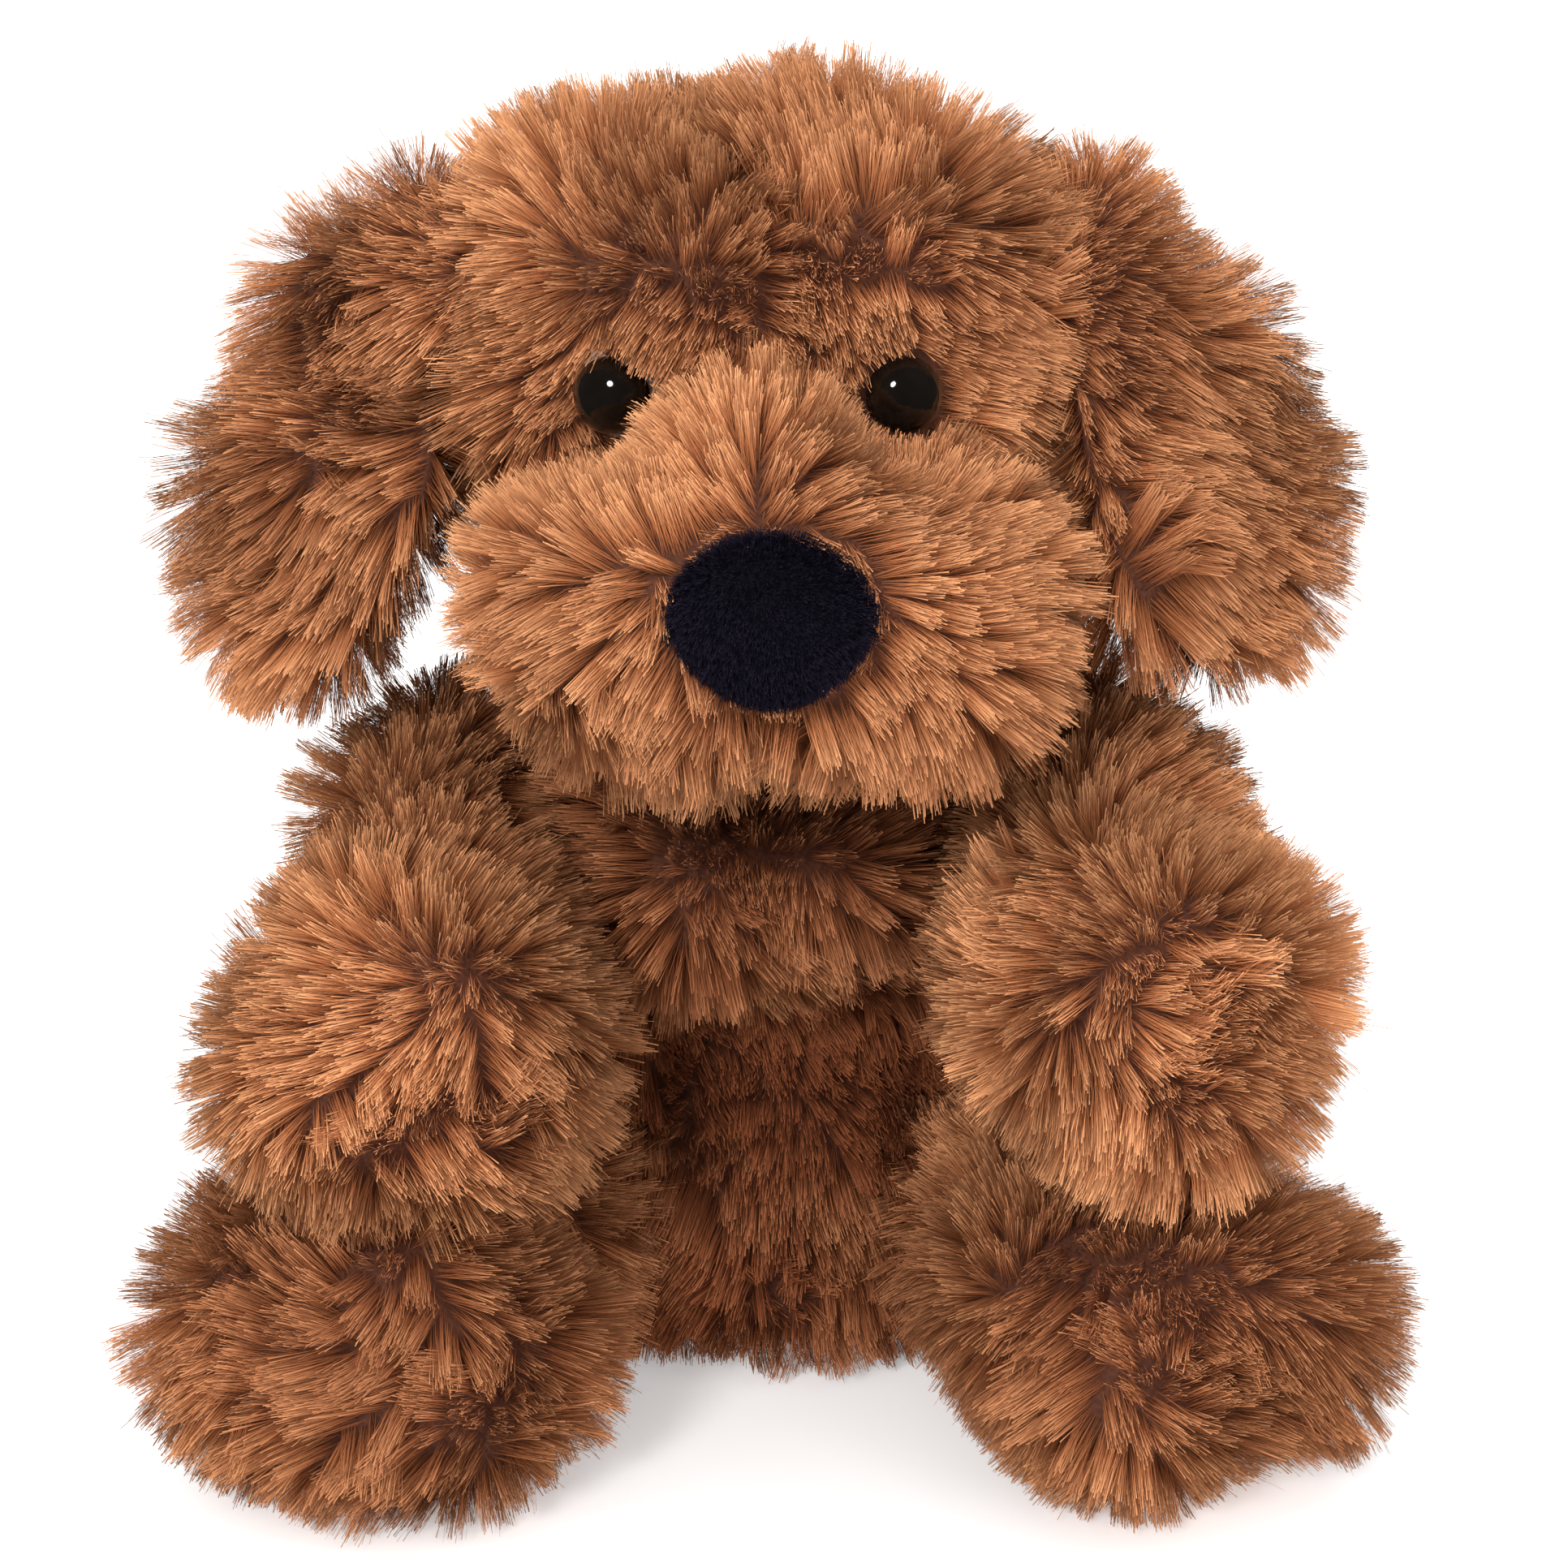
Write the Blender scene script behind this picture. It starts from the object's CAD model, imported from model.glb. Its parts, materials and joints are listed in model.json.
import json
import math
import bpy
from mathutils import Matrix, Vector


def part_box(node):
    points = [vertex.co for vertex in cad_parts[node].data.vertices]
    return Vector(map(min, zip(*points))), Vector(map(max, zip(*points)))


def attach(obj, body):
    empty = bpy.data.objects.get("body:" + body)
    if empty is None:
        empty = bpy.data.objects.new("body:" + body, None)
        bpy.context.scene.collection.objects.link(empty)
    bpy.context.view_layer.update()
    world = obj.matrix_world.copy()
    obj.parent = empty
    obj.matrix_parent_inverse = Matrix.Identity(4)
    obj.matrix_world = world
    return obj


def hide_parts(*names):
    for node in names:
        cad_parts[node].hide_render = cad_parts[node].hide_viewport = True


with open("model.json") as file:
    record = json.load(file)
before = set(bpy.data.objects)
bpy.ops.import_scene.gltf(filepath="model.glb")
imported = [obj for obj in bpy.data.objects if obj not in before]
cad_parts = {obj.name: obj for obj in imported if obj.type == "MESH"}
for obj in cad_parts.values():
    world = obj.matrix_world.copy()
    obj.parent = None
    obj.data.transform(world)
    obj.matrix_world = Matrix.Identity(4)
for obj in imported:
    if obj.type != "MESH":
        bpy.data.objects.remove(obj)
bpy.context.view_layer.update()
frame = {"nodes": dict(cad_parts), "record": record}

import zlib

import bmesh
import bpy
import numpy as np
from mathutils import Vector
from mathutils.kdtree import KDTree

MM = 0.001
SIDES = {"left": 1, "right": -1}
joints = {joint["name"]: joint for joint in frame["record"]["behaviour"]["joints"]}


# ---- torso ------------------------------------------------------------------------------
# The body is a pear of fur fabric cut in five panels, turned and stuffed with loose fibre,
# with pellets in the flat seat. The backing cloth is modelled as one closed, padded form.
def smooth_through(points, where):
    """A smooth curve through rows of numbers, read at where, from 0 to 1."""
    rows = np.asarray(points, float)
    rows = np.vstack([2 * rows[0] - rows[1], rows, 2 * rows[-1] - rows[-2]])
    at = np.clip(where, 0, 1) * (len(rows) - 3)
    low = np.minimum(at.astype(int), len(rows) - 4)
    t = (at - low)[:, None]
    a, b, c, d = (rows[low + step] for step in range(4))
    return 0.5 * (2 * b + (c - a) * t + (2 * a - 5 * b + 4 * c - d) * t**2
                  + (3 * b - 3 * c + d - a) * t**3)


def put(name, data):
    """A new object in the scene, at the origin."""
    ob = bpy.data.objects.new(name, data)
    bpy.context.scene.collection.objects.link(ob)
    return ob


def ball_mesh(name, around=72, along=56):
    """A closed ball, as an object, with its poles on Z and its faces in a fixed order."""
    bm = bmesh.new()
    bmesh.ops.create_uvsphere(bm, u_segments=around, v_segments=along, radius=1)
    bm.verts.index_update()
    places = [tuple(vert.co) for vert in bm.verts]
    faces = []
    for face in bm.faces:
        corners = [vert.index for vert in face.verts]
        first = corners.index(min(corners))
        faces.append(corners[first:] + corners[:first])
    bm.free()
    mesh = bpy.data.meshes.new(name)
    mesh.from_pydata(places, [], sorted(faces))
    mesh.update()
    return put(name, mesh)


def turn_and_rise(ball):
    """Each point's turn round Z, in radians, and its way up from the lower pole, 0 to 1."""
    turn = np.arctan2(ball[:, 1], ball[:, 0])
    return turn, 1 - np.arccos(np.clip(ball[:, 2], -1, 1)) / math.pi


def seeded(name):
    """Random numbers that are the same on each run."""
    return np.random.default_rng(zlib.crc32(name.encode()))


def unit(rows):
    return rows / np.maximum(np.linalg.norm(rows, axis=-1, keepdims=True), 1e-9)


def points_of(mesh):
    found = np.empty(len(mesh.vertices) * 3, np.float64)
    mesh.vertices.foreach_get("co", found)
    return found.reshape(-1, 3)


def normals_of(mesh):
    found = np.empty(len(mesh.vertices) * 3, np.float64)
    mesh.vertex_normals.foreach_get("vector", found)
    return found.reshape(-1, 3)


def shape(ob, place):
    """Moves every point of an object's mesh to place(points)."""
    ob.data.vertices.foreach_set("co", place(points_of(ob.data)).astype(np.float32).ravel())
    ob.data.update()


def smooth(ob):
    for polygon in ob.data.polygons:
        polygon.use_smooth = True


def bump(points, centre, radius):
    """1 at centre, fading to 0 beyond a radius away. Both are in mm."""
    away = (points - np.asarray(centre) * MM) / (np.asarray(radius) * MM)
    return np.exp(-(away**2).sum(1))[:, None]


TORSO_PROFILE = [       # half width, half depth, height, middle in Y, from seat to neck
    (0, 0, 3.0, 0), (22, 19, 3.0, 0), (36, 31, 5.0, 0), (44, 39, 13, 0), (48, 43, 26, 0),
    (48.5, 43, 42, 0), (46, 40, 58, 0), (43.5, 37, 70, 0), (42, 38, 82, -1), (39, 35, 94, -2),
    (31, 29, 106, -3), (18, 17, 115, -4), (0, 0, 118, -4),
]


def torso_place(ball):
    """The belly is drawn in and the chest brought out, with a deep fold between them."""
    turn, rise = turn_and_rise(ball)
    wide, deep, high, middle = smooth_through(TORSO_PROFILE, rise).T
    out = np.stack([wide * np.cos(turn), middle + deep * np.sin(turn), high], 1) * MM
    front = np.clip(-np.sin(turn), 0, 1)
    belly = np.exp(-(((high - 45) / 31) ** 4)) * front
    chest = np.exp(-(((high - 90) / 14) ** 2)) * front
    out[:, 1] += (12 * belly - 10 * chest) * MM
    return out


def waves(points, size, rng, count=14, width=3):
    """A smooth random field over the points, whose features are about size mm across."""
    out = np.zeros((len(points), width))
    for _ in range(count):
        direction = unit(rng.normal(size=3))
        number = math.pi / (size * MM) * rng.uniform(0.55, 1.3)
        phase = rng.uniform(0, 2 * math.pi, width)
        out += np.sin((points @ direction)[:, None] * number + phase)
    return out / math.sqrt(count / 2)


def lumpy(ob, height=1.8, size=18):
    """Uneven, hand-packed filling under the cloth, in mm."""
    rng, normals = seeded(ob.name), normals_of(ob.data)
    shape(ob, lambda points: points + normals * height * MM * waves(points, size, rng, width=1))


torso_skin = ball_mesh("torso_skin")
shape(torso_skin, torso_place)


# The pile. Fur fabric carries fine crimped fibres that clump into flat-ended brushes. Each
# strand is a thin blade with two sides that leans with its tuft, and tufts lean in locks.
BLADE = 0.075 * MM      # half width of a strand
SKIN = 0.01 * MM        # half of a strand's thickness
STRAYS = 0.035          # share of strands that stand out of their tuft
BRUSHES = 0.45          # share of strands that are broad at the tip, not at the root
GATHER = 0.83           # how far apart the tips of a tuft stay, of their roots' distance
LOCK_EACH = 110.0       # mm2 of cloth for each lock
TUFT_EACH = 8.5         # mm2 of cloth for each tuft
TONES = 32              # columns of the strands' colour map
ROOT_V = 0.03           # height of the roots in that map
TIP_V = 0.97
SIDE_TILT = 0.35        # how far the shading of a strand's two sides differs
FLOOR_GAP = 0.4 * MM


def triangles_of(mesh):
    mesh.calc_loop_triangles()
    corners = np.empty(len(mesh.loop_triangles) * 3, np.int32)
    mesh.loop_triangles.foreach_get("vertices", corners)
    return corners.reshape(-1, 3)


def scatter(mesh, each, rng, wanted=None):
    """Random places on a mesh, one for each so many mm2, with the cloth's normals there."""
    corners, points, normals = triangles_of(mesh), points_of(mesh), normals_of(mesh)
    a, b, c = (points[corners[:, i]] for i in range(3))
    area = np.linalg.norm(np.cross(b - a, c - a), axis=1) / 2
    number = int(area.sum() / MM**2 / each)
    pick = rng.choice(len(area), number, p=area / area.sum())
    u, v = rng.random(number), rng.random(number)
    over = u + v > 1
    u[over], v[over] = 1 - u[over], 1 - v[over]
    weights = np.stack([1 - u - v, u, v], 1)[:, :, None]
    where = (points[corners[pick]] * weights).sum(1)
    facing = unit((normals[corners[pick]] * weights).sum(1))
    if wanted is None:
        return where, facing
    kept = rng.random(number) < wanted(where, facing)
    return where[kept], facing[kept]


def nearest(places, queries):
    """For each query, the nearest place, both given as (points, normals)."""
    apart = 6 * MM      # keeps the two faces of a thin piece from sharing tufts
    tree = KDTree(len(places[0]))
    for index, place in enumerate(places[0] + apart * places[1]):
        tree.insert(place, index)
    tree.balance()
    find = tree.find
    return np.fromiter((find(query)[1] for query in queries[0] + apart * queries[1]),
                       np.int64, len(queries[0]))


def pile(name, body, skin, lay, length, lean, where=None, shade=None, each=0.175,
         swirl=1.0, tuft_each=TUFT_EACH, thin=1.0, material=None):
    """Grows a piece's pile from its backing and rides it on the same body.

    lay(points, normals) is the way it lies, length(points) is in mm, lean(points) is in
    radians, shade(points) moves the tone and where(points, normals) is the share kept.
    """
    rng = seeded(name)
    locks = scatter(skin.data, LOCK_EACH, rng)
    tufts = scatter(skin.data, tuft_each, rng)
    roots, root_n = scatter(skin.data, each, rng, where)
    lock_of = nearest(locks, tufts)
    tuft_of = nearest(tufts, (roots, root_n))
    tufts, tuft_n = tufts
    lock_count, tuft_count, count = len(locks[0]), len(tufts), len(roots)

    # A tuft flows along the lay, turned by wide swirls, by its lock and by its own chance.
    flow = unit(lay(tufts, tuft_n)) + swirl * 0.7 * waves(tufts, 22, rng)
    flow += swirl * 0.42 * rng.normal(size=(lock_count, 3))[lock_of]
    flow += 0.13 * rng.normal(size=tufts.shape)
    flow -= (flow * tuft_n).sum(1, keepdims=True) * tuft_n
    pull = np.linalg.norm(flow, axis=1, keepdims=True)
    flow *= np.tanh(2.2 * pull) / np.maximum(pull, 1e-9)
    tilt = lean(tufts) + 0.1 * waves(tufts, 16, rng, width=1)[:, 0]
    tilt += 0.11 * rng.normal(size=lock_count)[lock_of] + 0.08 * rng.normal(size=tuft_count)
    tilt = np.clip(tilt, 0.1, 1.3)[:, None]
    heading = unit(np.cos(tilt) * tuft_n + np.sin(tilt) * flow)
    reach = length(tufts) * MM * (1 + 0.07 * rng.normal(size=lock_count)[lock_of]
                                  + 0.05 * rng.normal(size=tuft_count))

    # A strand runs from its own root to near the tip of its tuft, rolled by up to 50 degrees.
    ahead = heading[tuft_of]
    offset = roots - tufts[tuft_of]
    offset -= (offset * ahead).sum(1, keepdims=True) * ahead
    stray = rng.random(count) < STRAYS
    cut = 1 - 0.28 * rng.random(count) ** 2 + stray * rng.uniform(0, 0.12, count)
    tip = tufts[tuft_of] + ahead * (reach[tuft_of] * cut)[:, None] + GATHER * offset
    tip += rng.normal(size=tip.shape) * (0.5 + 0.6 * stray)[:, None] * thin**2 * MM
    direction = unit(tip - roots)
    level = unit(np.cross(root_n + 0.02, direction))
    outer = unit(np.cross(direction, level))
    roll = rng.uniform(-0.9, 0.9, count)[:, None]
    across = np.cos(roll) * level + np.sin(roll) * outer
    facing = np.cos(roll) * outer - np.sin(roll) * level
    half_width = BLADE * thin * rng.uniform(0.7, 1.25, count) * np.where(stray, 0.55, 1)
    breadth = half_width[:, None] * across

    # Each strand has one sharp end, and a front and a back pair of corners at its broad end.
    brush = rng.random(count)[:, None] < BRUSHES
    broad = np.where(brush, tip, roots)
    breadth = np.where(brush, breadth, -breadth)
    corners = np.empty((count, 5, 3))
    corners[:, 0] = np.where(brush, roots, tip)
    for first, side in ((1, SKIN), (3, -SKIN)):
        corners[:, first] = broad + breadth + side * facing
        corners[:, first + 1] = broad - breadth + side * facing
    low = FLOOR_GAP + 0.9 * MM * rng.random(count)[:, None]
    corners[:, :, 2] = np.maximum(corners[:, :, 2], low)

    # Each strand takes one column of the colour map, near its tuft's, from root to tip.
    tone = 0.67 + 0.09 * waves(tufts, 14, rng, width=1)[:, 0] + 0.06 * rng.normal(size=tuft_count)
    tone = tone[tuft_of] + 0.05 * rng.normal(size=count)
    if shade is not None:
        tone = tone + shade(roots)
    tone = np.clip(tone, 0, 0.999)
    column = np.floor(tone * TONES)
    left, right = (column + 0.25) / TONES, (column + 0.75) / TONES

    mesh = bpy.data.meshes.new(name)
    mesh.vertices.add(count * 5)
    mesh.vertices.foreach_set("co", corners.astype(np.float32).ravel())
    order = np.array([0, 2, 1, 0, 3, 4])
    mesh.loops.add(count * 6)
    mesh.loops.foreach_set("vertex_index", (order[None] + 5 * np.arange(count)[:, None]).ravel())
    mesh.polygons.add(count * 2)
    mesh.polygons.foreach_set("loop_start", 3 * np.arange(count * 2))
    chart = np.empty((count, 6, 2), np.float32)
    chart[:, [0, 3], 0] = ((left + right) / 2)[:, None]
    chart[:, [1, 5], 0] = left[:, None]
    chart[:, [2, 4], 0] = right[:, None]
    chart[:, :, 1] = np.where(brush, TIP_V, ROOT_V)
    chart[:, [0, 3], 1] = np.where(brush, ROOT_V, TIP_V)
    mesh.uv_layers.new(name="OFBake").data.foreach_set("uv", chart.ravel())
    # It is shaded mostly as the cloth under it, so the coat reads as soft and not as blades.
    outward = 0.25 * outer + 0.7 * root_n + [0, 0, 0.12]
    normals = np.repeat(outward[:, None], 5, axis=1)
    normals[:, 1:3] += SIDE_TILT * facing[:, None]
    normals[:, 3:5] -= SIDE_TILT * facing[:, None]
    normals = unit(normals).astype(np.float32)
    shading = mesh.attributes.new("custom_normal", "FLOAT_VECTOR", "POINT")
    shading.data.foreach_set("vector", normals.ravel())
    mesh.update()
    ob = put(name, mesh)
    mesh.materials.append(material or fur)
    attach(ob, body)


def plain_material(name, colour, roughness):
    made = bpy.data.materials.new(name)
    made.use_nodes = True
    shader = made.node_tree.nodes["Principled BSDF"]
    shader.inputs["Base Color"].default_value = (*colour, 1)
    shader.inputs["Roughness"].default_value = roughness
    return made, shader


def wire(tree, kind, settings=(), **inputs):
    """Adds a node and sets its inputs, by name or as n0, n1, to values or sockets."""
    node = tree.nodes.new(kind)
    for key, value in dict(settings).items():
        setattr(node, key, value)
    for key, value in inputs.items():
        index = int(key[1:]) if key[0] == "n" and key[1:].isdigit() else key.replace("_", " ")
        if isinstance(value, bpy.types.NodeSocket):
            tree.links.new(value, node.inputs[index])
        else:
            node.inputs[index].default_value = value
    return node


def sums(tree, operation, *values):
    """The output of a math node over values or sockets."""
    numbered = {f"n{index}": value for index, value in enumerate(values)}
    return wire(tree, "ShaderNodeMath", {"operation": operation}, **numbered).outputs[0]


def ramp(tree, source, rows):
    """A colour ramp over a value: rows of (place, colour)."""
    node = wire(tree, "ShaderNodeValToRGB", Fac=source)
    while len(node.color_ramp.elements) < len(rows):
        node.color_ramp.elements.new(0.5)
    for element, (place, colour) in zip(node.color_ramp.elements, rows):
        element.position = place
        element.color = (*colour, 1)
    return node.outputs["Color"]


def mixed(tree, factor, first, second, kind="MIX"):
    node = wire(tree, "ShaderNodeMix", {"data_type": "RGBA", "blend_type": kind},
                n0=factor, n6=first, n7=second)
    return node.outputs[2]


def node_group(name, inputs, output):
    """An empty node group with one value output, and its ends."""
    group = bpy.data.node_groups.new(name, "ShaderNodeTree")
    for label, value in inputs.items():
        socket = group.interface.new_socket(label, in_out="INPUT", socket_type="NodeSocketFloat")
        socket.default_value = value
    group.interface.new_socket(output, in_out="OUTPUT", socket_type="NodeSocketFloat")
    return group, group.nodes.new("NodeGroupInput"), group.nodes.new("NodeGroupOutput")


weave, weave_in, weave_out = node_group("weave", {"Threads": 1500.0}, "Height")
at = wire(weave, "ShaderNodeTexCoord")
spun = wire(weave, "ShaderNodeVectorMath", {"operation": "SCALE"},
            n0=at.outputs["Object"], Scale=weave_in.outputs["Threads"])
parts = wire(weave, "ShaderNodeSeparateXYZ", n0=spun.outputs[0])
warp = sums(weave, "SINE", sums(weave, "ADD", parts.outputs["X"], parts.outputs["Y"]))
weft = sums(weave, "SINE", parts.outputs["Z"])
height = sums(weave, "MULTIPLY_ADD", sums(weave, "MULTIPLY", warp, weft), 0.5, 0.5)
weave.links.new(height, weave_out.inputs["Height"])

mottle, mottle_in, mottle_out = node_group("mottle", {"Scale": 800.0}, "Value")
at = wire(mottle, "ShaderNodeTexCoord")
cloud = wire(mottle, "ShaderNodeTexNoise", n0=at.outputs["Object"],
             Scale=mottle_in.outputs["Scale"], Detail=3.0, Roughness=0.6)
stretched = wire(mottle, "ShaderNodeMapRange", n0=cloud.outputs[0], n1=0.3, n2=0.7)
mottle.links.new(stretched.outputs[0], mottle_out.inputs["Value"])


def mottled(name, dark, light, roughness, scale=800.0, threads=None, shine=0.5):
    """Uneven colour, over a weave if threads is given."""
    made, shader = plain_material(name, light, roughness)
    tree = made.node_tree
    patch = wire(tree, "ShaderNodeGroup", {"node_tree": mottle}, Scale=scale)
    colour = ramp(tree, patch.outputs["Value"], [(0.0, dark), (1.0, light)])
    if threads:
        cloth = wire(tree, "ShaderNodeGroup", {"node_tree": weave}, Threads=threads)
        shade = ramp(tree, cloth.outputs["Height"], [(0.0, (0.72, 0.7, 0.68)), (1.0, (1, 1, 1))])
        colour = mixed(tree, 1.0, colour, shade, "MULTIPLY")
    tree.links.new(colour, shader.inputs["Base Color"])
    shader.inputs["Specular IOR Level"].default_value = shine
    return made


FIBRES = 3      # fibres to a strand's width, which is half a column of the colour map


def strand_material(name, dark, light):
    """Root-to-tip colour of a pile, from its darkest strands to its lightest."""
    made, shader = plain_material(name, light[-1][1], 0.6)
    tree = made.node_tree
    chart = wire(tree, "ShaderNodeUVMap", {"uv_map": "OFBake"})
    split = wire(tree, "ShaderNodeSeparateXYZ", n0=chart.outputs["UV"])
    tone, height = split.outputs["X"], split.outputs["Y"]
    groove = sums(tree, "PINGPONG", sums(tree, "MULTIPLY", tone, TONES * FIBRES * 2.0), 0.5)
    shade = ramp(tree, groove, [(0.0, (0.8, 0.77, 0.74)), (0.35, (1.0, 1.0, 1.0))])
    colour = mixed(tree, tone, ramp(tree, height, dark), ramp(tree, height, light))
    colour = mixed(tree, 0.8, colour, shade, "MULTIPLY")
    tree.links.new(colour, shader.inputs["Base Color"])
    shader.inputs["Specular IOR Level"].default_value = 0.0
    return made


fur = strand_material(
    "fur",
    [(0.0, (0.08, 0.024, 0.011)), (0.5, (0.17, 0.050, 0.021)), (1.0, (0.31, 0.096, 0.040))],
    [(0.0, (0.26, 0.087, 0.037)), (0.5, (0.66, 0.238, 0.095)), (1.0, (0.95, 0.455, 0.213))],
)
backing = mottled("backing", (0.08, 0.023, 0.010), (0.13, 0.040, 0.017), 0.9, threads=4200.0)
wadding = mottled("wadding", (0.66, 0.65, 0.62), (0.86, 0.85, 0.82), 0.95, scale=1400.0)
thread = mottled("sewing_thread", (0.10, 0.034, 0.014), (0.20, 0.070, 0.030), 0.6,
                 threads=9000.0)


def stuffing(skin, body, node, room=2.2):
    """A wad of loose fibre, just smaller than the skin that holds it."""
    ob = put(f"{node}_wad", skin.data.copy())
    rng, normals = seeded(node), normals_of(ob.data)

    def draw_in(points):
        lumps = room + 0.7 * np.abs(waves(points, 7, rng, width=1))
        return points - normals * lumps * MM

    shape(ob, draw_in)
    ob.data.materials.clear()
    ob.data.materials.append(wadding)
    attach(ob, body)
    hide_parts(node)


SETTLING = 12           # steps of the cloth simulation
TRAVEL = 2.0 * MM       # as far as it may move a point


def plump(ob):
    """Lets pressure settle the sewn cloth over its filling, less its even swelling."""
    before, normals = points_of(ob.data), normals_of(ob.data)
    cloth = ob.modifiers.new("cloth", "CLOTH")
    cloth.settings.use_pressure = True
    cloth.settings.uniform_pressure_force = 4
    cloth.settings.effector_weights.gravity = 0
    cloth.collision_settings.use_collision = False
    cloth.point_cache.frame_end = SETTLING
    for number in range(1, SETTLING + 1):
        bpy.context.scene.frame_set(number)
    settled = ob.evaluated_get(bpy.context.evaluated_depsgraph_get())
    move = points_of(settled.data) - before
    ob.modifiers.remove(cloth)
    bpy.context.scene.frame_set(1)
    move -= (move * normals).sum(1).mean() * normals
    far = np.linalg.norm(move, axis=1, keepdims=True)
    move *= TRAVEL * np.tanh(far / TRAVEL) / np.maximum(far, 1e-9)
    shape(ob, lambda points: np.round(points + move, 5))


def on_the_floor(points):
    return np.column_stack([points[:, :2], np.maximum(points[:, 2], FLOOR_GAP)])


def padded_skin(ob, body, nodes, filling=None):
    """Finishes a backing cloth, which stands for the nodes, and puts its filling in it."""
    lumpy(ob)
    plump(ob)
    shape(ob, on_the_floor)
    ob.data.materials.append(backing)
    smooth(ob)
    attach(ob, body)
    if nodes:
        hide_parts(*nodes)
    if filling:
        stuffing(ob, body, filling)


padded_skin(torso_skin, "torso",
            ("chest_panel", "belly_panel", "back_panel_left", "back_panel_right", "seat_panel"),
            "torso_filling")


def torso_lay(points, normals):
    """Away from the middle of the chest, and down."""
    return unit(points - np.array([0, 0, 80]) * MM) + np.array([0, 0, -0.8])


def in_the_fold(points):
    """The belly's pile is matted and dark, the most where the chest hangs over it."""
    height = points[:, 2] / MM
    under = np.clip((80 - height) / 10, 0, 1) * (points[:, 1] < 0)
    middle = np.clip(1.5 - np.abs(points[:, 0]) / (45 * MM), 0, 1)
    return -under * middle * (0.54 + 0.3 * np.exp(-(((height - 64) / 14) ** 2)))


def on_the_chest(points):
    """The chest lies in the head's shade, and its pile is darker too."""
    front = np.clip(-points[:, 1] / (20 * MM), 0, 1) * (points[:, 2] > 78 * MM)
    return in_the_fold(points) - 0.4 * front * (np.abs(points[:, 0]) < 38 * MM)


def torso_half(front):
    """The front or the back of the torso, with thin pile under the seat."""
    def share(points, normals):
        under_seat = points[:, 2] < 4 * MM
        return ((points[:, 1] < 0) == front) * np.where(under_seat, 0.25, 1.0)

    return share


def even(value):
    return lambda points: np.full(len(points), value)


def coat_length(points):
    """The coat of the torso and limbs, in mm, which the floor presses short."""
    return 11.0 * (0.55 + 0.45 * np.clip(points[:, 2] / (16 * MM), 0, 1))


for label, front, shade in (("front", True, on_the_chest), ("back", False, None)):
    pile(f"torso_pile_{label}", "torso", torso_skin, torso_lay, coat_length, even(0.5),
         where=torso_half(front), shade=shade)


# ---- neck -------------------------------------------------------------------------------
# A ball of hard-packed fibre under the same fur fabric, on which the head turns and nods.
neck_centre = np.array(joints["neck_turn"]["pos_m"])
neck_skin = ball_mesh("neck_skin", 40, 28)
shape(neck_skin, lambda ball: neck_centre + ball * [15 * MM, 14.5 * MM, 13 * MM])
padded_skin(neck_skin, "neck", (), "neck_filling")
pile("neck_pile", "neck", neck_skin, lambda p, n: np.zeros_like(p) + [0, 0, -1.0],
     even(10), even(0.8))


# ---- head -------------------------------------------------------------------------------
# The head is a centre gusset between two sides, stuffed hard enough to stay round, with
# full brows over the eyes.
head_low = np.array(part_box("head_gusset")[0]) / MM
head_high = np.array(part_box("head_gusset")[1]) / MM
HEAD_MIDDLE = np.array([0.0, (head_low[1] + head_high[1]) / 2, 171.0])
HEAD_SEMI = np.array([44.5, 41.5, 38.0])
HEAD_BUMPS = [          # height, centre and radius, each on both sides
    (6, (21, -42, 191), (16, 17, 10)),          # brow
    (-4.5, (22.5, -47, 171), (10, 12, 9)),      # eye socket
    (3, (40, -27, 166), (13, 18, 13)),          # cheek
    (6, (36, -8, 198), (15, 26, 13)),           # side of the crown
    (5, (46, -8, 190), (12, 20, 12)),           # root of the ear
]


def head_place(ball):
    out = (HEAD_MIDDLE + ball * HEAD_SEMI) * MM
    outward = unit(ball / HEAD_SEMI)
    rise = 0
    for sign in (1, -1):
        for height, (x, y, z), radius in HEAD_BUMPS:
            rise = rise + height * bump(out, (sign * x, y, z), radius)
    rise -= 2 * bump(out, (0, -45, 190), (4, 22, 12))       # furrow between the brows
    rise += 2.5 * bump(out, (0, -20, 209), (22, 26, 10))    # top of the crown
    return out + outward * rise * MM


head_skin = ball_mesh("head_skin")
shape(head_skin, head_place)
padded_skin(head_skin, "head", ("head_gusset", "head_side_left", "head_side_right"),
            "head_filling")

EYE_PLACES = {side: np.array([sign * 22.5, -47.0, 171.5]) * MM for side, sign in SIDES.items()}
NOSE_MIDDLE = np.array([1.8, -87.0, 145.5])


def off_the_eyes(points, radius=8.2):
    """1 where no eye is nearer than radius mm, and 0 elsewhere."""
    clear = np.ones(len(points))
    for place in EYE_PLACES.values():
        clear *= np.linalg.norm(points - place, axis=1) > radius * MM
    return clear


def near_the_eyes(points, radius):
    near = sum(bump(points, place / MM, [radius] * 3)[:, 0] for place in EYE_PLACES.values())
    return np.clip(near, 0, 1)


def face_length(points):
    return 11.0 - 8.5 * near_the_eyes(points, 14)


MUZZLE_MIDDLE = np.array([1.6, -50.0, 143.0])
MUZZLE_SEMI = np.array([40.0, 35.0, 23.5])
BOXY = 2.5              # 2 is an ellipsoid, more is squarer


def outside_muzzle(points):
    return (np.abs((points / MM - MUZZLE_MIDDLE) / MUZZLE_SEMI) ** BOXY).sum(1) > 0.98**2


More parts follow.
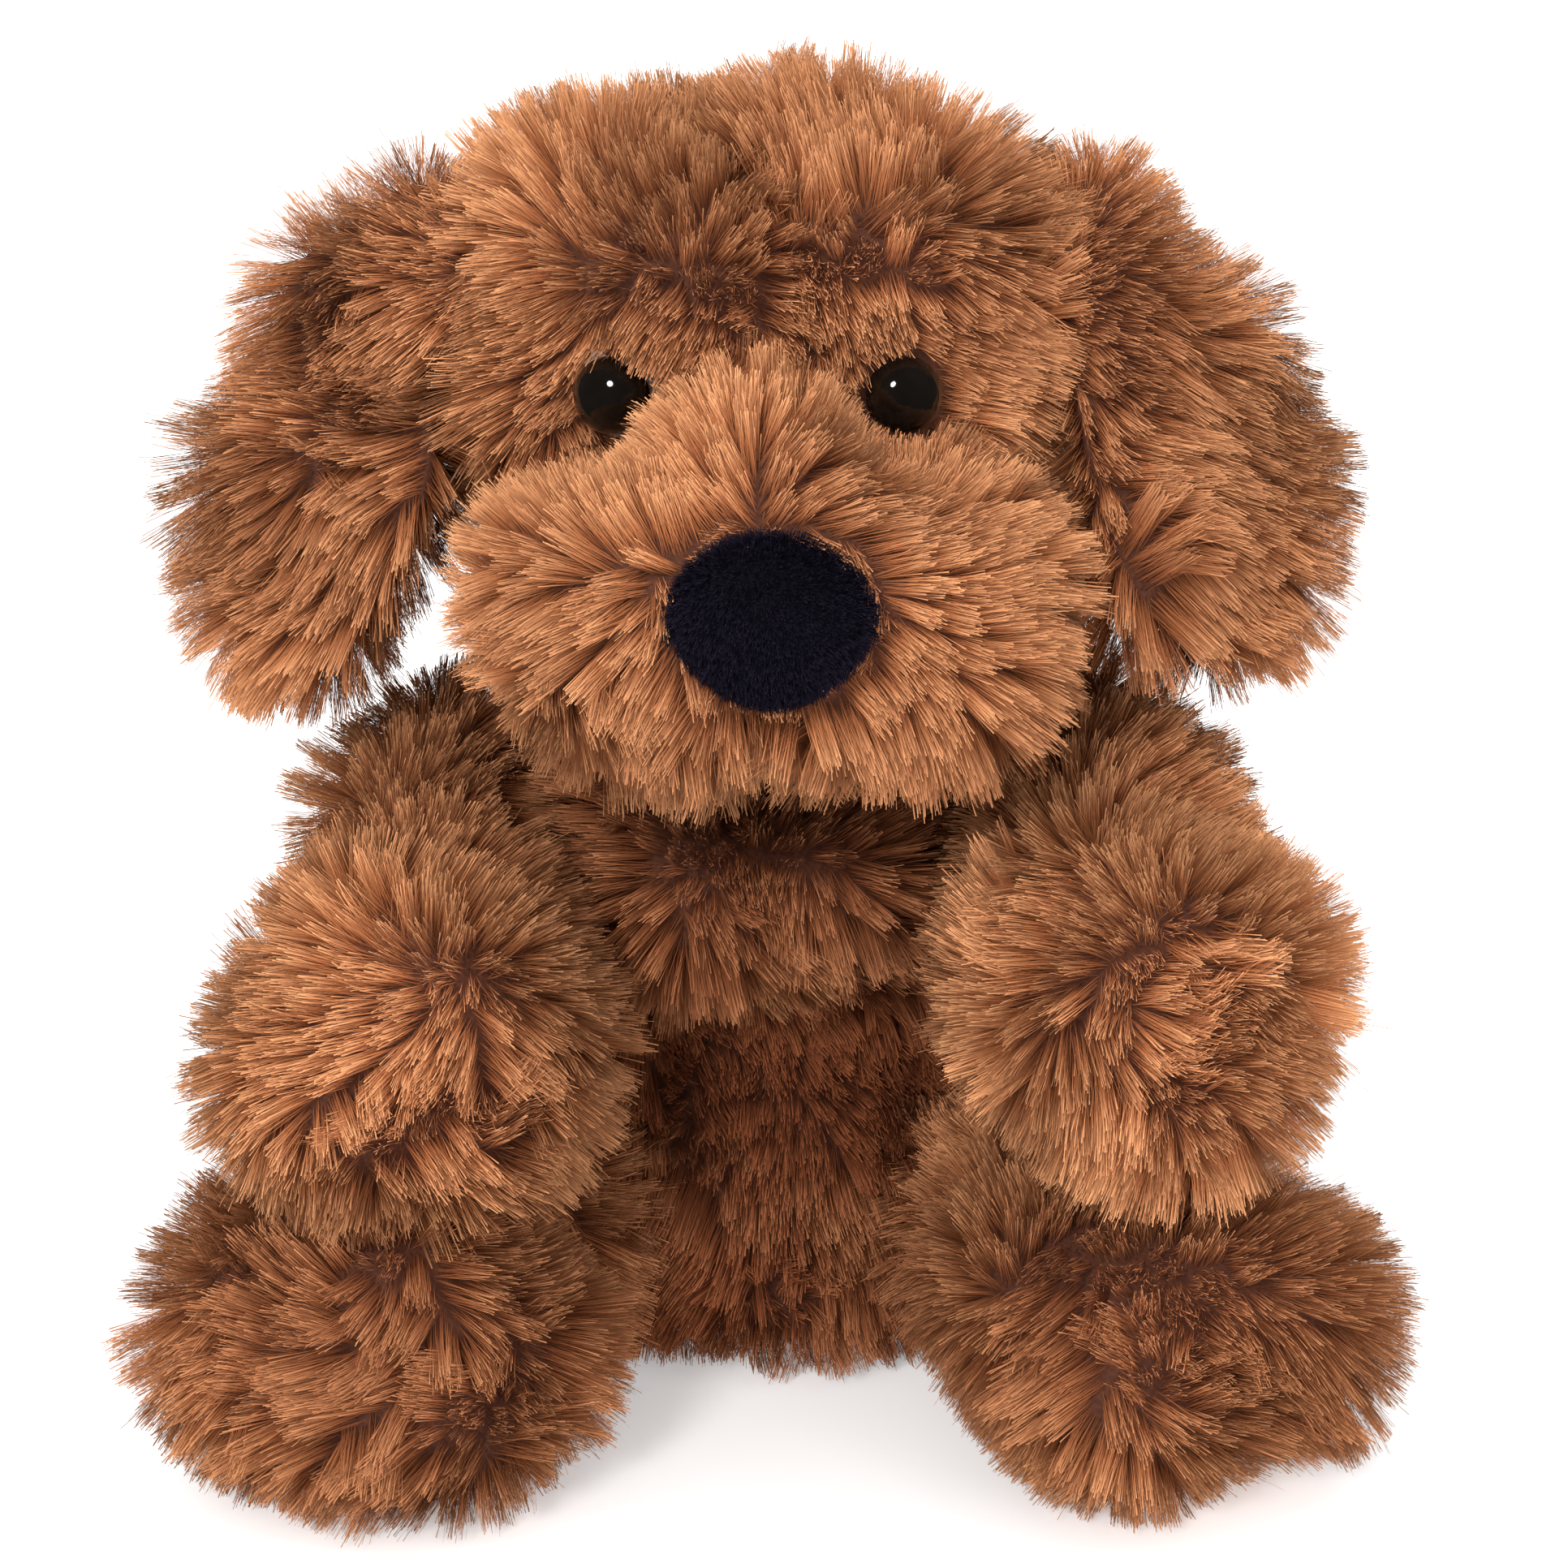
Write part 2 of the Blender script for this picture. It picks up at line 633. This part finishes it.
def head_lay(points, normals):
    """Down from a whorl on the forehead, and parted round the eyes."""
    away = unit(points - np.array([6, -46, 201]) * MM)
    for place in EYE_PLACES.values():
        gap = points - place
        away = away + 2.4 * unit(gap) * np.exp(-(gap**2).sum(1, keepdims=True) / (11 * MM) ** 2)
    return away + np.array([0, 0, -0.45])


def on_the_crown(points):
    """A darker curl over the forehead."""
    return 0.08 - 0.26 * bump(points, (6, -44, 199), (10, 10, 11))[:, 0]


def head_where(sign):
    def share(points, normals):
        return (points[:, 0] * sign > 0) * off_the_eyes(points) * outside_muzzle(points)

    return share


for label, sign in SIDES.items():
    pile(f"head_pile_{label}", "head", head_skin, head_lay, face_length, even(0.5), swirl=0.9,
         shade=on_the_crown, where=head_where(sign))


# ---- muzzle -----------------------------------------------------------------------------
# A broad padded muzzle sewn to the face, with a cleft under the nose. Its pile is combed
# back over the bridge and hangs in tufts round the mouth.
def muzzle_place(ball):
    square = ball / (np.abs(ball) ** BOXY).sum(1, keepdims=True) ** (1 / BOXY)
    out = (MUZZLE_MIDDLE + square * MUZZLE_SEMI) * MM
    outward = unit(square / MUZZLE_SEMI)
    high = np.clip((out[:, 2] / MM - 150) / 17, 0, 1)
    out[:, 0] *= 1 - 0.25 * high
    rise = -8 * bump(out, (1.6, -82, 119), (4.5, 22, 12))
    rise += 8.5 * bump(out, (0, -48, 170), (11, 24, 11))
    for sign in (1, -1):
        rise -= 6 * bump(out, (sign * 22, -58, 167), (10, 14, 9))
    return out + outward * rise * MM


muzzle_skin = ball_mesh("muzzle_skin")
shape(muzzle_skin, muzzle_place)
padded_skin(muzzle_skin, "head",
            ("muzzle_bridge", "muzzle_side_left", "muzzle_side_right", "chin_panel"),
            "muzzle_filling")


def outside_head(points):
    return (((points / MM - HEAD_MIDDLE) / (HEAD_SEMI - 1)) ** 2).sum(1) > 1


def nose_distance(points):
    """1 at the rim of the nose, more outside it."""
    return np.linalg.norm((points / MM - NOSE_MIDDLE) / [14.0, 14.0, 11.5], axis=1)


def at_the_rim(points):
    return np.clip((1.3 - nose_distance(points)) / 0.15, 0, 1)


def muzzle_lay(points, normals):
    """Out from the nose, except for the short pile at its rim, which leans over it."""
    out = unit(points - (NOSE_MIDDLE + [0, -6, 0]) * MM)
    rim = at_the_rim(points)[:, None]
    return out * (1 - 1.6 * rim) + np.array([0, 0, -0.25]) * (1 - rim)


def muzzle_lean(points):
    return 0.6 - 0.1 * at_the_rim(points)


def muzzle_length(points):
    """Longer round the mouth, shorter at the nose and the eyes, in mm."""
    low = np.clip((150 * MM - points[:, 2]) / (25 * MM), 0, 1)
    near = np.clip((1.55 - nose_distance(points)) / 0.5, 0, 1)
    return 9.0 + 3.0 * low - 2.5 * near - 6.0 * near_the_eyes(points, 15)


def muzzle_where(sign):
    def share(points, normals):
        side = (points[:, 0] * sign > 0) * (nose_distance(points) > 1)
        return side * off_the_eyes(points, 10) * outside_head(points)

    return share


for label, sign in SIDES.items():
    pile(f"muzzle_pile_{label}", "head", muzzle_skin, muzzle_lay, muzzle_length, muzzle_lean,
         where=muzzle_where(sign), swirl=0.9, each=0.15)


# ---- ears -------------------------------------------------------------------------------
# Each ear is two leaves of fur fabric sewn round the edge and turned, flat and floppy, and
# hangs from the seam at the side of the crown.
EAR_PROFILE = [         # distance from the root, half width, half thickness
    (-3, 0, 0), (-2, 8, 2.5), (5, 14, 4.5), (15, 19.5, 6), (30, 23.5, 7), (44, 25.5, 8),
    (56, 25, 8), (67, 20, 7), (74, 12, 5), (77, 0, 0),
]
EAR_LONG = 77 * MM
EAR_CURL = -5.5 * MM    # the tips turn in towards the cheeks


def face_outward(ob):
    """Turns the faces of a closed mesh round if they look inward."""
    points = points_of(ob.data) - points_of(ob.data).mean(0)
    a, b, c = (points[triangles_of(ob.data)[:, i]] for i in range(3))
    if (np.cross(a, b) * c).sum() < 0:
        ob.data.flip_normals()


for label, sign in SIDES.items():
    hinge = joints[f"ear_lift_{label}"]
    root = np.array(hinge["pos_m"])
    down = unit(np.array([[sign * 38.0, -11.0, -76.0]]))[0]
    across = np.array(hinge["axis"]) / np.linalg.norm(hinge["axis"])
    facing = np.cross(down, across)
    facing *= np.sign(facing[0] * sign)

    def ear_place(ball):
        turn, rise = turn_and_rise(ball)
        far, wide, thick = (smooth_through(EAR_PROFILE, rise) * MM).T
        curl = (EAR_CURL * np.clip(far / EAR_LONG, 0, 1) ** 2)[:, None] * [sign, 0, 0]
        return (root + far[:, None] * down + (wide * np.cos(turn))[:, None] * across
                + (thick * np.sin(turn))[:, None] * facing + curl)

    def from_root(points, over, least=0.0):
        """How far down the ear, up to 1 at over mm from the root."""
        return np.clip(np.linalg.norm(points - root, axis=1) / (over * MM), least, 1)

    def ear_lay(points, normals):
        return 1.2 * down + 0.7 * unit(points - root + 12 * MM * down)

    def ear_length(points):
        return 6 + 5.5 * from_root(points, 30)

    def ear_lean(points):
        return 0.62 * from_root(points, 24, 0.2)

    def ear_where(points, normals):
        """Thicker at the edge, which is seen against the light."""
        return np.where(np.abs(normals @ facing) > 0.6, 0.62, 1.0)

    ear = ball_mesh(f"ear_skin_{label}", 56, 48)
    shape(ear, ear_place)
    face_outward(ear)
    padded_skin(ear, f"ear_{label}", (f"ear_outer_{label}", f"ear_lining_{label}"))
    pile(f"ear_pile_{label}", f"ear_{label}", ear, ear_lay, ear_length, ear_lean,
         where=ear_where, swirl=0.8, each=0.12)


# ---- limbs ------------------------------------------------------------------------------
# Arms and legs are stuffed tubes with round ends, sewn on at the root ball. The paws lie on
# the feet, so both are pressed flat where they meet, and the feet are flat on the floor.
PRESSED = 0.92          # how much of its thickness a limb loses where it is pressed flat


def limb_skin(name, pivot, direction, profile, low, high, broad=1.0, heel=0.0):
    """A closed limb round its own line, pressed flat below low and above high, in mm.

    heel is how far the low part of its end is drawn back under it.
    """
    line = Vector(direction).normalized()
    side = line.cross(Vector((0, 0, 1))).normalized()
    upper = side.cross(line)

    def place(ball):
        turn, rise = turn_and_rise(ball)
        far, radius = (smooth_through(profile, rise) * MM).T
        out = (np.array(pivot) + far[:, None] * np.array(line)
               + (broad * radius * np.cos(turn))[:, None] * np.array(side)
               + (radius * np.sin(turn))[:, None] * np.array(upper))
        for limit, way in ((low, 1), (high, -1)):
            past = np.maximum((limit * MM - out[:, 2]) * way, 0)
            out[:, 2] += way * past * PRESSED
        under = np.clip((20 * MM - out[:, 2]) / (20 * MM), 0, 1)
        tuck = under * np.clip(far / (80 * MM), 0, 1) ** 2
        return out - heel * MM * tuck[:, None] * np.array(line) * [1, 1, 0]

    made = ball_mesh(name)
    shape(made, place)
    face_outward(made)
    return made


ARM_PROFILE = [         # distance from the shoulder, radius
    (-16.5, 0), (-15, 7.5), (-9, 13.5), (0, 16), (14, 16.5), (28, 16.5), (42, 18.5),
    (56, 21.5), (68, 22.5), (80, 20), (88, 13), (91.5, 0),
]
ARM_WAY = {"left": (10.0, 13.0), "right": (5.0, 21.0)}     # degrees outward and down
LEG_PROFILE = [
    (-17.5, 0), (-16, 8), (-9.5, 14.5), (0, 17.5), (14, 18), (28, 19.5), (42, 22.5),
    (52, 25), (62, 25.5), (73, 23), (81, 15), (84, 0),
]
LEG_WAY = {"left": (28.0, 2.0), "right": (24.0, 2.0)}


def heading_of(turn, drop, sign):
    """The way a limb points, turned outward and down by these degrees."""
    turn, drop = math.radians(turn), math.radians(drop)
    level = math.cos(drop)
    return (sign * level * math.sin(turn), -level * math.cos(turn), -math.sin(drop))


def limb_lay(direction):
    """The pile lies along the limb and down."""
    way = 0.8 * np.array(direction) + [0, 0, -0.5]
    return lambda points, normals: way + np.zeros_like(points)


def on_the_paw(points):
    """The paws are brushed and lighter than the rest of the arms."""
    return 0.16 * np.clip((-points[:, 1] / MM - 40) / 25, 0, 1)


for label, sign in SIDES.items():
    pivot = joints[f"arm_spread_{label}"]["pos_m"]
    way = heading_of(*ARM_WAY[label], sign)
    arm = limb_skin(f"arm_skin_{label}", pivot, way, ARM_PROFILE, 53.5, 200)
    padded_skin(arm, f"arm_{label}", (f"arm_outer_{label}", f"arm_inner_{label}"),
                f"arm_filling_{label}")
    pile(f"arm_pile_{label}", f"arm_{label}", arm, limb_lay(way), coat_length, even(0.5),
         shade=on_the_paw)

for label, sign in SIDES.items():
    pivot = joints[f"leg_splay_{label}"]["pos_m"]
    way = heading_of(*LEG_WAY[label], sign)
    leg = limb_skin(f"leg_skin_{label}", pivot, way, LEG_PROFILE, 3.0, 47.5,
                    broad=1.1, heel=10.0)
    padded_skin(leg, f"leg_{label}",
                (f"leg_outer_{label}", f"leg_inner_{label}", f"sole_{label}"),
                f"leg_filling_{label}")
    pile(f"leg_pile_{label}", f"leg_{label}", leg, limb_lay(way), coat_length, even(0.5),
         shade=even(-0.16))


# ---- tail -------------------------------------------------------------------------------
# A short stuffed stub sewn into the back seam.
TAIL_PROFILE = [(-7, 0), (-6, 3), (0, 7), (10, 8.5), (20, 9), (27, 7), (31, 0)]
tail_way = (0, math.cos(math.radians(32)), math.sin(math.radians(32)))
tail_root = joints["tail_wag"]["pos_m"]
tail = limb_skin("tail_skin_padded", tail_root, tail_way, TAIL_PROFILE, 3, 100)
padded_skin(tail, "tail", ("tail_skin",), "tail_filling")
pile("tail_pile", "tail", tail, limb_lay(tail_way), even(10), even(0.6))


# ---- nose and eyes ----------------------------------------------------------------------
# The nose is a padded oval of short velour. The eyes are one-piece black safety eyes.
NOSE_HALF = np.array([14.5, 8.5, 12.0])


def nose_place(ball):
    """Fuller at the top than at the bottom."""
    out = ball * NOSE_HALF
    out[:, 0] *= 1 + 0.1 * ball[:, 2]
    out[:, 2] -= 1.2 * ball[:, 0] ** 2 * np.sign(ball[:, 2])
    return (NOSE_MIDDLE + out) * MM


nose = ball_mesh("nose_velour", 48, 32)
shape(nose, nose_place)
velour = mottled("velour", (0.002, 0.002, 0.004), (0.007, 0.006, 0.012), 0.8, scale=2500.0,
                 shine=0.1)
velour_pile = strand_material(
    "velour_pile",
    [(0.0, (0.001, 0.001, 0.002)), (0.5, (0.002, 0.002, 0.004)), (1.0, (0.005, 0.004, 0.008))],
    [(0.0, (0.003, 0.003, 0.006)), (0.5, (0.008, 0.007, 0.013)), (1.0, (0.024, 0.020, 0.036))],
)
smooth(nose)
nose.data.materials.append(velour)
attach(nose, "head")
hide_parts("nose_cover")
stuffing(nose, "head", "nose_padding", room=1.0)
pile("nose_pile", "head", nose, lambda p, n: np.zeros_like(p) + [0.2, 0, -1.0],
     even(1.5), even(0.7), where=lambda p, n: p[:, 1] < -84 * MM, each=0.045,
     swirl=0.5, tuft_each=0.8, thin=0.8, material=velour_pile)
gloss = mottled("eye_gloss", (0.004, 0.003, 0.002), (0.007, 0.005, 0.004), 0.06, scale=300.0)
washer = mottled("washer_plastic", (0.70, 0.70, 0.68), (0.84, 0.84, 0.82), 0.45, scale=400.0)


def finish_node(node, material):
    found = frame["nodes"][node]
    found.data.materials.clear()
    found.data.materials.append(material)


for label in SIDES:
    finish_node(f"eye_{label}", gloss)
    finish_node(f"eye_washer_{label}", washer)


# ---- sewing and weighting ---------------------------------------------------------------
# The limbs' turned-in seams, the hand stitches that close the back, and a blank satin label.
# Lining pouches of plastic pellets, one in the seat and one in each foot, weigh the dog down.
satin = mottled("label_satin", (0.80, 0.80, 0.78), (0.90, 0.90, 0.88), 0.4, threads=12000.0)
lining = mottled("pouch_lining", (0.56, 0.54, 0.49), (0.74, 0.72, 0.66), 0.85, threads=5000.0)
plastic = mottled("pellet_plastic", (0.74, 0.74, 0.72), (0.86, 0.86, 0.84), 0.4, scale=500.0)
finish_node("closing_stitches", thread)
finish_node("care_label", satin)
for label in SIDES:
    finish_node(f"arm_seam_{label}", backing)
    finish_node(f"leg_seam_{label}", backing)

PELLET = 1.35 * MM      # radius
PACKED = 2.9 * MM       # from one pellet to the next
WEIGHTED = {
    "torso": ("seat_pouch", "seat_pellets"),
    "leg_left": ("foot_pouch_left", "foot_pellets_left"),
    "leg_right": ("foot_pouch_right", "foot_pellets_right"),
}


def middle_and_half(node):
    low, high = (np.array(corner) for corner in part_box(node))
    return (low + high) / 2, (high - low) / 2


def bag_place(ball, centre, half):
    """A round bag, puckered along the seam at its middle."""
    turn, _ = turn_and_rise(ball)
    near_seam = np.exp(-((ball[:, 2] / 0.3) ** 2))
    pucker = 0.97 - 0.03 * near_seam * (0.5 + 0.5 * np.cos(22 * turn))
    return centre + ball * half * pucker[:, None]


def pellets_mesh(name, centre, half):
    """Small lens-shaped pellets, packed in an ellipsoid and each turned its own way."""
    rng = seeded(name)
    bm = bmesh.new()
    bmesh.ops.create_icosphere(bm, subdivisions=1, radius=1)
    corners = np.array([vert.co for vert in bm.verts])
    faces = np.array([[vert.index for vert in face.verts] for face in bm.faces])
    bm.free()
    steps = [np.arange(-side, side + PACKED / 2, PACKED) for side in half]
    grid = np.stack(np.meshgrid(*steps, indexing="ij"), -1).reshape(-1, 3)
    grid += rng.uniform(-0.06, 0.06, grid.shape) * MM
    grid = grid[((grid / half) ** 2).sum(1) < 1]
    turned, _ = np.linalg.qr(rng.normal(size=(len(grid), 3, 3)))
    lens = corners * [1, 1, 0.75] * PELLET
    places = centre + grid[:, None] + np.einsum("nij,kj->nki", turned, lens)
    inward = np.linalg.det(turned) < 0
    order = faces[None] + len(corners) * np.arange(len(grid))[:, None, None]
    order[inward] = order[inward][:, :, ::-1]
    mesh = bpy.data.meshes.new(name)
    mesh.from_pydata(places.reshape(-1, 3).tolist(), [], order.reshape(-1, 3).tolist())
    mesh.update()
    return put(name, mesh)


for body, (pouch_node, pellets_node) in WEIGHTED.items():
    centre, half = middle_and_half(pouch_node)
    bag = ball_mesh(f"{pouch_node}_bag", 66, 32)
    shape(bag, lambda ball: bag_place(ball, centre, half))
    bag.data.materials.append(lining)
    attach(bag, body)
    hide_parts(pouch_node)
    centre, half = middle_and_half(pellets_node)
    grains = pellets_mesh(f"{pellets_node}_grains", centre, half - 2.2 * MM)
    grains.data.materials.append(plastic)
    smooth(bag)
    smooth(grains)
    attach(grains, body)
    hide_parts(pellets_node)


# ---- floor, light and camera ------------------------------------------------------------
# A white studio: a pale floor without edges, even light from all round, a soft key from the
# front left, and a weak top and fill. Only the key glints in the eyes.
WHITE = (1, 1, 1, 1)
floor_mesh = bpy.data.meshes.new("floor")
bm = bmesh.new()
bmesh.ops.create_grid(bm, x_segments=1, y_segments=1, size=6)
bm.to_mesh(floor_mesh)
bm.free()
floor = put("floor", floor_mesh)
floor.visible_glossy = False
pale, pale_shader = plain_material("pale_floor", (0.94, 0.94, 0.94), 0.9)
pale_shader.inputs["Emission Color"].default_value = WHITE
pale_shader.inputs["Emission Strength"].default_value = 0.34
floor_mesh.materials.append(pale)

world = bpy.data.worlds.new("studio")
bpy.context.scene.world = world
world.use_nodes = True
studio = world.node_tree
ambient = studio.nodes["Background"]
ambient.inputs["Color"].default_value = WHITE
ambient.inputs["Strength"].default_value = 0.85
backdrop = wire(studio, "ShaderNodeBackground", Color=WHITE)
dim = wire(studio, "ShaderNodeBackground", Strength=0.06)
seen = wire(studio, "ShaderNodeLightPath")
to_camera = wire(studio, "ShaderNodeMixShader", n0=seen.outputs["Is Camera Ray"],
                 n1=ambient.outputs[0], n2=backdrop.outputs[0])
to_gloss = wire(studio, "ShaderNodeMixShader", n0=seen.outputs["Is Glossy Ray"],
                n1=to_camera.outputs[0], n2=dim.outputs[0])
studio.links.new(to_gloss.outputs[0], studio.nodes["World Output"].inputs["Surface"])


def sun(name, place, strength, softness, glints=False):
    """A very soft light from far off, the same all over the floor."""
    light = bpy.data.lights.new(name, "SUN")
    light.energy = strength
    light.angle = math.radians(softness)
    ob = put(name, light)
    ob.rotation_euler = Vector(place).to_track_quat("Z", "Y").to_euler()
    ob.visible_glossy = glints


sun("key", (-0.35, -1.0, 0.62), 1.75, 14, glints=True)
sun("top", (0.2, -0.2, 1.0), 0.6, 80)
sun("fill", (0.6, -0.9, 0.45), 0.4, 20)

CAMERA_RISE = math.radians(16)
CAMERA_AWAY = 0.55
camera_data = bpy.data.cameras.new("camera")
camera_data.lens = 75.7
camera_data.sensor_width = 36
camera_data.clip_start = 0.01
camera = put("camera", camera_data)
bpy.context.scene.camera = camera
aim = Vector((0.0, -0.020, 0.105))
back = Vector((0, -math.cos(CAMERA_RISE), math.sin(CAMERA_RISE)))
camera.location = aim + CAMERA_AWAY * back
look = aim + Vector((0.0042, 0, -0.0035)) - camera.location
camera.rotation_euler = look.to_track_quat("-Z", "Y").to_euler()
bpy.context.scene.view_settings.view_transform = "Standard"
